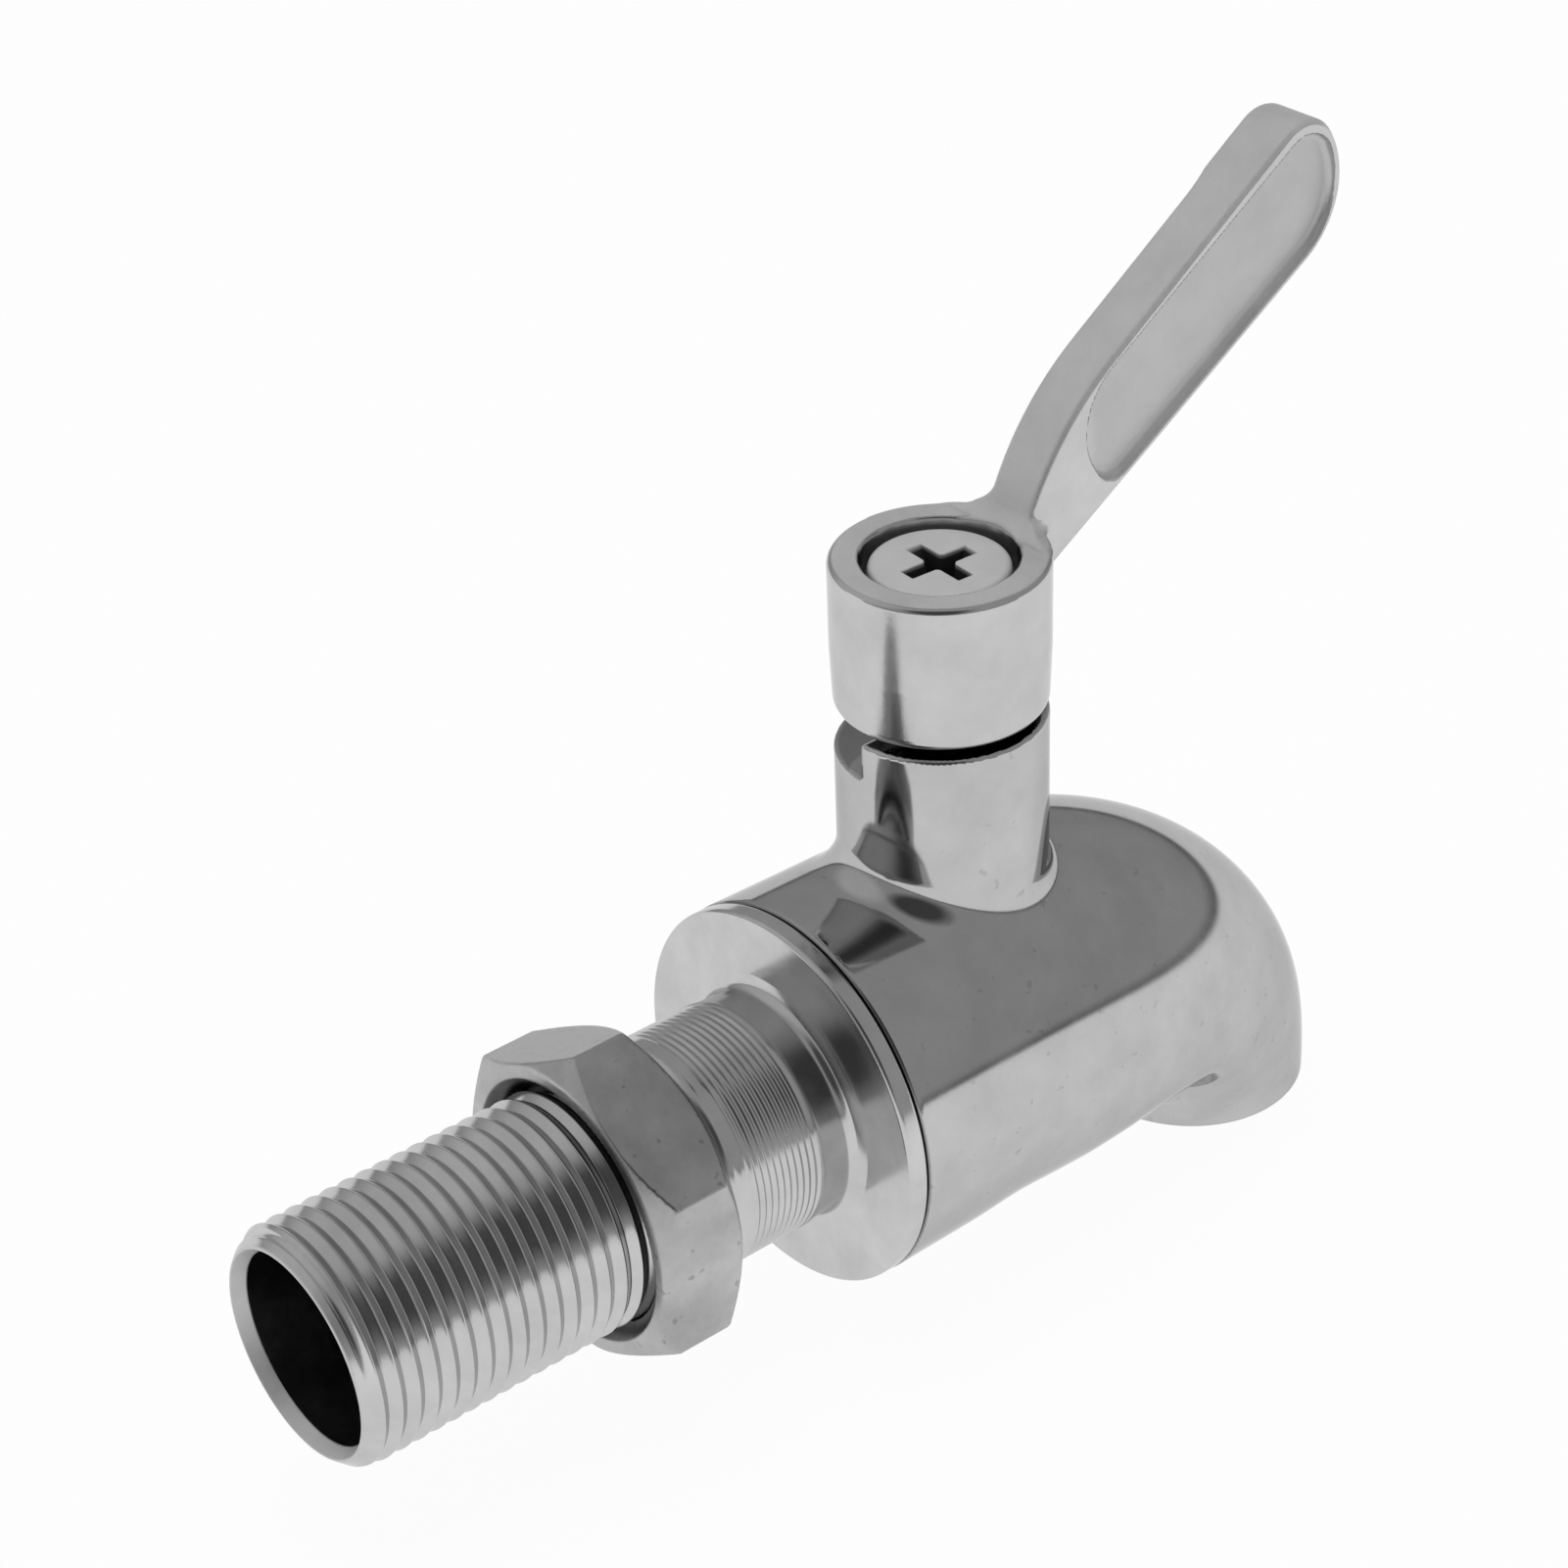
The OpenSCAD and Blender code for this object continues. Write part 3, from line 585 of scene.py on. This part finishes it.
def shank_rows():
    turns = 176
    angle = np.arange(turns) * 2 * math.pi / turns
    rows = []

    def add(x, r):
        r = np.broadcast_to(np.asarray(r, float), (turns,))
        rows.append(np.stack([np.full(turns, x), r * np.cos(angle), r * np.sin(angle)], 1))

    def arc(cx, cr, rad, a0, a1, n):
        for a in np.linspace(a0, a1, n):
            add(cx + rad * cosd(a), cr + rad * sind(a))

    for off, r in OPEN_END:
        add(SHANK_END + off, r)
    # thread, in rows of equal distance, that fades out at both ends
    for x in np.arange(SHANK_END + 0.12, THREAD_END, PITCH / 24):
        lead = THREAD_R - max(0.0, CHAMFER - (x - SHANK_END)) * CHAMFER_SLOPE
        fade = share(x, SHANK_END + 0.5, 0.5) * share(-x, -THREAD_END + 0.2, 1.4)
        uneven = 0.02 * np.sin(3 * angle + x)
        add(x, lead - (THREAD_DEPTH + uneven) * fade * thread_depth(x / PITCH + angle / (2 * math.pi)))
    for x in np.arange(THREAD_END + 0.05, FINE_END, FINE_PITCH / 8):
        fade = share(x, THREAD_END + 0.1, 0.6) * share(-x, -FINE_END + 0.1, 0.8)
        add(x, THREAD_R - FINE_DEPTH * fade * (0.5 + 0.5 * np.cos(2 * math.pi * (x / FINE_PITCH) + angle)))
    # neck, with a fillet to the flange
    add(NECK_X, THREAD_R)
    arc(NECK_X, NECK_R + 0.06, 0.07, 90, 0, 3)
    add(-2.6, NECK_R)
    add(-1.2, NECK_R)
    for c in (cosd(a) for a in np.linspace(0, 90, 9)):
        add(-NECK_FILLET * c, NECK_R + NECK_FILLET * (1 - math.sqrt(max(0, 1 - (1 - c) ** 2))))
    # flange, rounded at both edges
    add(0, 9.3)
    add(0, FLANGE_R - 0.4)
    arc(0.35, FLANGE_R - 0.35, 0.35, 180, 90, 6)
    add(1.15, FLANGE_R)
    arc(1.18, FLANGE_R - 0.3, 0.3, 90, 0, 6)
    for x, r in TAIL:
        add(x, r)
    return np.stack(rows)


make("threaded_shank", ring_mesh(shank_rows()), "tap", turned, "turned_steel", "shank")


# Lock nut

NUT_START, NUT_END = -18.0, -11.5
NUT_HALF = 10.4          # half the width across flats
NUT_TURN = 32.4          # degrees
NUT_BORE_R, COUNTERSINK_R = 8.4, 9.4
NUT_CHAMFER_R, NUT_CHAMFER = 10.25, 36       # where the corners' chamfer starts, and its angle


def nut_field(p):
    x, y, z = p.T
    r = np.hypot(y, z)
    f = np.full(len(x), -FAR)
    for k in range(3):
        a = NUT_TURN + 60 * k
        f = rmax(f, np.abs(cosd(a) * z - sind(a) * y) - NUT_HALF, 0.3)
    into = x - NUT_START, NUT_END - x
    rise = (r - NUT_CHAMFER_R) * sind(NUT_CHAMFER) / cosd(NUT_CHAMFER)
    for depth in into:
        f = rmax(f, -depth, 0.12)
    for depth in into:
        f = rmax(f, (rise - depth) * cosd(NUT_CHAMFER), 0.12)
    hollow = r - NUT_BORE_R
    for depth in into:
        hollow = np.minimum(hollow, (r - COUNTERSINK_R + depth) * 0.707)
    return rmax(f, -hollow, 0.1)


make("hex_nut", contour(nut_field, (-18.6, -12.9, -12.9), (-10.9, 12.9, 12.9), 0.2),
     "nut", satin_nut, "nut_steel", "lock_nut")


# Handle

HUB_R, HUB_TOP, HUB_BASE = 7.35, 36.1, 25.3
HUB_TAPER = 0.15         # how much the hub narrows to its base
SLOPE = 31.8             # degrees the blade's lower edge rises
FLARE = 2.5              # degrees between the blade's edges
FOOT = 27.9              # where the lower edge's line meets the bonnet's axis
BLADE_W, BLADE_LEN = 9.6, 43.35
BLADE_HALF = 2.1         # half the blade's thickness
PANEL_HALF = 1.4         # half the thickness left between the panels
COUNTERBORE_R, COUNTERBORE_FLOOR = 5.25, 31.8
SQUARE_HALF = 3.12       # half the width of the hole across the stem's flats
HANDLE_BORE = 4.05, 26.25                    # radius of the hub's bore, and how high it reaches
LUG_MIDDLE_R, LUG_HALF = 5.775, 1.175
LUG_BASE, LUG_TOP = 22.3, 26.6
LUG_SWING = 91           # degrees of the notch that the lug leaves free


def arc_points(cx, cy, r, a0, a1, n=16):
    a = np.radians(np.linspace(a0, a1, n + 1))
    return np.stack([cx + r * np.cos(a), cy + r * np.sin(a)], 1)


def on_blade(p):
    """Points given along and across the blade, in x from the bonnet's axis and z."""
    p = np.atleast_2d(p)
    c, s = cosd(SLOPE), sind(SLOPE)
    return np.stack([p[:, 0] * c - p[:, 1] * s, FOOT + p[:, 0] * s + p[:, 1] * c], 1)


def lever_outline():
    """Neck and blade from the side: up from the hub's top, over a long arc and round the blade's end."""
    low_r, high_r, foot_x, foot_r, lean = 6.2, 3.0, 4.3, 2.0, 68
    inside = HUB_BASE + 3
    top = SLOPE + FLARE
    tan = math.tan(math.radians(top))
    neck = arc_points(foot_x, HUB_TOP + foot_r, foot_r, -90, lean - 90)
    knee = neck[-1]
    edge = on_blade([BLADE_LEN, BLADE_W])[0]
    edge_z = edge[1] - edge[0] * tan
    over_r = (edge_z + knee[0] * tan - knee[1]) / (cosd(top) - cosd(lean) - tan * (sind(lean) - sind(top)))
    over = arc_points(knee[0] + over_r * sind(lean), knee[1] - over_r * cosd(lean), over_r,
                      90 + lean, 90 + top)
    corner = BLADE_W - high_r * (1 + sind(FLARE)) / cosd(FLARE)
    tip = np.concatenate([arc_points(BLADE_LEN - high_r, corner, high_r, 90 + FLARE, 0),
                          arc_points(BLADE_LEN - low_r, low_r, low_r, 0, -90)])
    return np.concatenate([[[0, inside], [0, HUB_TOP]], neck, over, on_blade(tip), on_blade([7, 0]),
                           [[5.5, inside]]])


def panel_outline():
    rim, back = 0.6, 15.9
    end, high = BLADE_LEN - rim, BLADE_W - 1.0
    high_r, low_r, heel_r, back_r = 2.6, 5.6, 1.8, 5
    return on_blade(np.concatenate([
        arc_points(end - high_r, high - 2.8, high_r, 90, 0),
        arc_points(end - low_r, rim + low_r, low_r, 0, -90),
        arc_points(back + heel_r, rim + heel_r, heel_r, -90, -180),
        arc_points(back + back_r, rim + 2.4, back_r, 180, 90 + FLARE)]))


def polygon_field(outline):
    """Signed distance to a closed outline in the plane, tabled on a fine grid."""
    lo, hi, h = outline.min(0) - 3, outline.max(0) + 3, 0.1
    n = np.ceil((hi - lo) / h).astype(int) + 1
    u, v = np.meshgrid(lo[0] + np.arange(n[0]) * h, lo[1] + np.arange(n[1]) * h, indexing="ij")
    best = np.full(u.shape, 1e9)
    inside = np.zeros(u.shape, bool)
    for a, b in zip(outline, np.roll(outline, -1, 0)):
        d = b - a
        length = d @ d
        if length < 1e-12:
            continue
        t = np.clip(((u - a[0]) * d[0] + (v - a[1]) * d[1]) / length, 0, 1)
        best = np.minimum(best, (u - a[0] - t * d[0]) ** 2 + (v - a[1] - t * d[1]) ** 2)
        if a[1] != b[1]:
            span = (a[1] > v) != (b[1] > v)
            inside ^= span & (u < a[0] + (v - a[1]) / (b[1] - a[1]) * d[0])
    table = np.where(inside, -1, 1) * np.sqrt(best)
    return lambda x, z: between_points(table, lo, h, x, z)


lever_side = polygon_field(lever_outline())
panel_side = polygon_field(panel_outline())


def handle_field(p):
    x, y, z = p[:, 0] - AXIS_X, p[:, 1], p[:, 2]
    r = np.hypot(x, y)
    # the blade's far end spreads a little to one side
    wide = 0.12 * share(x * cosd(SLOPE) + (z - FOOT) * sind(SLOPE), 33.5, 2.5) ** 2
    plate = np.abs(y - wide) - BLADE_HALF - wide
    # hub and blade from above, both from the side, and what the two share
    hub_r = HUB_R - HUB_TAPER * share(-z, -HUB_BASE - 4.5, 4.0) - 1.6 * np.clip(z - HUB_TOP, 0, 2.5)
    fillet = 0.6 + (0.9 + 1.3 * share(y, -1, 2)) * share(z, 35.4, 1.4)
    plan = rmin(r - hub_r, np.maximum(plate, -x), fillet)
    box = np.maximum(np.maximum(z - HUB_TOP, HUB_BASE - 2 - z), np.abs(x) - HUB_R - 0.25)
    side = rmin(lever_side(x, z), box, 0.01 + 0.9 * share(-z, -33.5, 1.5))
    f = rmax(plan, side, 0.5)
    f = rmax(f, HUB_BASE - z, 0.8)
    panel = rmax(panel_side(x, z), PANEL_HALF - np.abs(y), 0.5)
    f = rmax(f, -panel, 0.16)
    angle = np.arctan2(y, x)
    torn = 0.02 * (np.sin(11 * angle + 3 * z) + np.sin(23 * angle)) * share(z, 35.6, 0.8)
    f = rmax(f, -np.maximum(r - COUNTERBORE_R - torn, COUNTERBORE_FLOOR - z), 0.25)
    bore_r, bore_top = HANDLE_BORE
    hole = np.minimum(np.maximum(r - bore_r, z - bore_top), np.maximum(r - 4.02, np.abs(x) - SQUARE_HALF))
    f = rmax(f, -hole, 0.1)
    first = NOTCH_START + 0.5
    wedge = sector(x, y, first, first + NOTCH_END - NOTCH_START - LUG_SWING, 0.15)
    lug = rmax(wedge, np.abs(r - LUG_MIDDLE_R) - LUG_HALF, 0.1)
    lug = rmax(lug, np.maximum(LUG_BASE - z, z - LUG_TOP), 0.1)
    return np.minimum(f, lug)


make("lever_handle", contour(handle_field, (7.3, -7.9, 22.0), (53.6, 7.9, 60.9), 0.18),
     "lever", satin_handle, "handle_steel", "handle")


# Handle screw

HEAD_R, HEAD_TOP, HEAD_BASE = 4.72, 35.6, 32.85
SCREW_R, SCREW_END = 2.5, 22.85
RECESS_REACH, RECESS_HALF, RECESS_FLOOR = 2.7, 0.62, 33.3
RECESS_TURN = -3         # degrees


def screw_field(p):
    x, y, z = p[:, 0] - AXIS_X, p[:, 1], p[:, 2]
    r = np.hypot(x, y)
    head = rmax(rmax(r - HEAD_R, z - HEAD_TOP, 0.45), HEAD_BASE - z, 0.05)
    c, s = cosd(RECESS_TURN), sind(RECESS_TURN)
    u, v = np.abs(x * c + y * s), np.abs(-x * s + y * c)
    deep = HEAD_TOP - 0.05 - z
    wings = [np.maximum(a - RECESS_REACH + 0.4 * deep, b - RECESS_HALF + 0.04 * deep)
             for a, b in ((u, v), (v, u))]
    cross = np.maximum(rmin(*wings, 0.35), RECESS_FLOOR - z)
    head = rmax(head, -cross, 0.09)
    rod = np.maximum(np.maximum(r - SCREW_R, z - 33), SCREW_END - z)
    return np.minimum(head, rod)


make("cross_screw", contour(screw_field, (10.2, -5.0, 22.4), (20.2, 5.0, 36.0), 0.13),
     "lever", screw_steel, "screw_steel", "handle_screw")


# Studio

PHOTO_WIDTH = 1601       # pixels
FOCAL = 3789.17          # pixels
# The camera's axes and its place in metres, as fitted to the photo
CAMERA_RIGHT = (0.76663, -0.64124, -0.03310)
CAMERA_UP = (0.36365, 0.39113, 0.84545)
CAMERA_BACK = (-0.52919, -0.66018, 0.53304)
CAMERA_PLACE = (-0.12478, -0.15766, 0.15172)
FLOOR_Z = -16.52
FLOOR_SIDE = 2.5         # metres from the middle to the edge
FLOOR_GLOW = 0.96        # how white the floor looks to the camera and in reflections


def add_camera():
    camera = bpy.data.objects.new("camera", bpy.data.cameras.new("camera"))
    scene.collection.objects.link(camera)
    camera.data.sensor_width = 36.0
    camera.data.lens = FOCAL / PHOTO_WIDTH * camera.data.sensor_width
    camera.data.clip_start = 0.01
    columns = zip(CAMERA_RIGHT, CAMERA_UP, CAMERA_BACK, CAMERA_PLACE)
    camera.matrix_world = Matrix([*columns, (0, 0, 0, 1)])
    scene.camera = camera


def blend(nt, factor, level, other):
    """The level, turned into the other value where factor is 1."""
    mix = node(nt, "ShaderNodeMix", data_type="FLOAT")
    nt.links.new(factor, mix.inputs["Factor"])
    nt.links.new(level, mix.inputs["A"])
    mix.inputs["B"].default_value = other
    return mix.outputs["Result"]


def patch(nt, coord, level, direction, wide, narrow, tone):
    """A soft round panel of another brightness in that direction, above the horizon."""
    dot = node(nt, "ShaderNodeVectorMath", operation="DOT_PRODUCT")
    nt.links.new(coord, dot.inputs[0])
    dot.inputs[1].default_value = direction
    return blend(nt, ramp(nt, dot.outputs["Value"], cosd(wide), cosd(narrow), 0, 1), level, tone)


def add_world():
    """What the steel reflects: white below the horizon, a dark band just above it and grey over that."""
    world = bpy.data.worlds.new("studio")
    scene.world = world
    world.use_nodes = True
    nt = world.node_tree
    coord = node(nt, "ShaderNodeTexCoord").outputs["Generated"]
    up = axes(nt, coord)["Z"]
    level = maths(nt, "ADD", ramp(nt, up, -0.01, 0.025, 1.0, 0.17), ramp(nt, up, 0.03, 0.09, 0.0, 0.21))
    level = patch(nt, coord, level, (-0.52, 0.60, 0.61), 42, 24, 0.55)
    level = patch(nt, coord, level, (-0.55, -0.58, 0.60), 34, 20, 0.07)
    seen = node(nt, "ShaderNodeLightPath").outputs["Is Camera Ray"]
    background = nt.nodes["Background"]
    nt.links.new(blend(nt, seen, level, 1.0), background.inputs["Strength"])
    background.inputs["Color"].default_value = (1, 1, 1, 1)


def add_floor():
    me = bpy.data.meshes.new("floor")
    side, z = FLOOR_SIDE, FLOOR_Z * MM
    corners = [(-side, -side, z), (side, -side, z), (side, side, z), (-side, side, z)]
    me.from_pydata(corners, [], [(0, 1, 2, 3)])
    floor = bpy.data.objects.new("floor", me)
    scene.collection.objects.link(floor)
    mat = bpy.data.materials.new("floor_white")
    mat.use_nodes = True
    nt = mat.node_tree
    bsdf = nt.nodes["Principled BSDF"]
    bsdf.inputs["Base Color"].default_value = (0.9, 0.9, 0.9, 1)
    bsdf.inputs["Roughness"].default_value = 0.8
    glow = node(nt, "ShaderNodeEmission")
    glow.inputs["Color"].default_value = (1, 1, 1, 1)
    ray = node(nt, "ShaderNodeLightPath").outputs
    seen = maths(nt, "MAXIMUM", ray["Is Camera Ray"], ray["Is Glossy Ray"])
    mix = node(nt, "ShaderNodeMixShader")
    nt.links.new(maths(nt, "MULTIPLY", seen, FLOOR_GLOW), mix.inputs[0])
    nt.links.new(bsdf.outputs[0], mix.inputs[1])
    nt.links.new(glow.outputs[0], mix.inputs[2])
    nt.links.new(mix.outputs[0], nt.nodes["Material Output"].inputs["Surface"])
    me.materials.append(mat)


def add_lamp():
    lamp = bpy.data.objects.new("key", bpy.data.lights.new("key", "AREA"))
    scene.collection.objects.link(lamp)
    lamp.data.size = 0.8
    lamp.data.energy = 6.0
    lamp.location = (0, 0, 1.2)
    lamp.visible_glossy = False


add_camera()
add_world()
add_floor()
add_lamp()
scene.view_settings.view_transform = "Standard"
